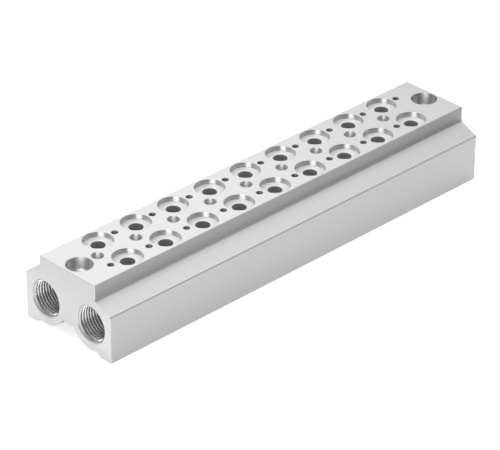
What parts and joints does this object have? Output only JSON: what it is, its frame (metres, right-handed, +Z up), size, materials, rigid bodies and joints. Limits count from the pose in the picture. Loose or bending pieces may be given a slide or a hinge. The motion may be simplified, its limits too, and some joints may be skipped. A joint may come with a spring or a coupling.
{
  "type": "manifold plate",
  "caption": "Long aluminium valve manifold plate with a row of double ports, two through galleries threaded at both ends, sloping shoulders and a mounting hole at each end.",
  "frame": {"origin": "centre of the footprint, on the plane of the two feet", "axes": "+X along the plate from the end nearer to the first station's locating hole, +Y across it, +Z up out of the valve seat"},
  "size_m": [0.28, 0.066, 0.042],
  "materials": {
    "aluminium": "drawn bar, with a milled top and ends, clear anodised"
  },
  "bodies": {
    "root": {"manifold_body": "aluminium"}
  },
  "joints": []
}
